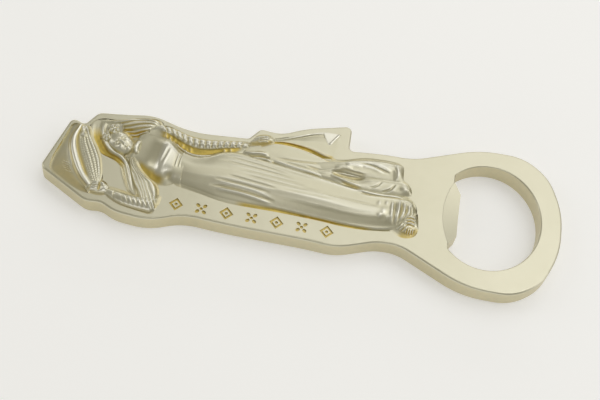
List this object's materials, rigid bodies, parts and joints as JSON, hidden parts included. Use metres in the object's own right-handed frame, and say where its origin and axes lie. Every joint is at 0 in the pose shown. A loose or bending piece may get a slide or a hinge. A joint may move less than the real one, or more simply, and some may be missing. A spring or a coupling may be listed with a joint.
{
  "type": "bottle opener",
  "caption": "Flat cast souvenir bottle opener: handle with a relief of a dancer in a long gown holding a conical hat, ring end with a lifting lip for crown caps.",
  "frame": {"origin": "middle of the length and width, on the flat back face", "axes": "+X along the handle towards the cap ring, +Z out of the decorated face, +Y across the handle towards the free corner of the flying back panel"},
  "size_m": [0.132, 0.0406, 0.0077],
  "materials": {
    "cast_plate": "satin pale champagne-gold plating over a smooth die casting, deeper yellow gold in the engraved marks",
    "figure_relief": "satin to bright pale champagne-gold plating, deeper yellow gold in the grooves between the forms"
  },
  "bodies": {
    "root": {"opener_plate": "cast_plate", "cap_lip": "cast_plate", "conical_hat": "figure_relief", "hat_lining": "figure_relief", "raised_hand": "figure_relief", "raised_sleeve": "figure_relief", "head": "figure_relief", "hair": "figure_relief", "hair_flowers": "figure_relief", "bodice": "figure_relief", "lowered_sleeve": "figure_relief", "lowered_hand": "figure_relief", "gown_front_panel": "figure_relief", "gown_back_panel": "figure_relief", "trousers": "figure_relief", "sandal": "figure_relief"}
  },
  "joints": []
}
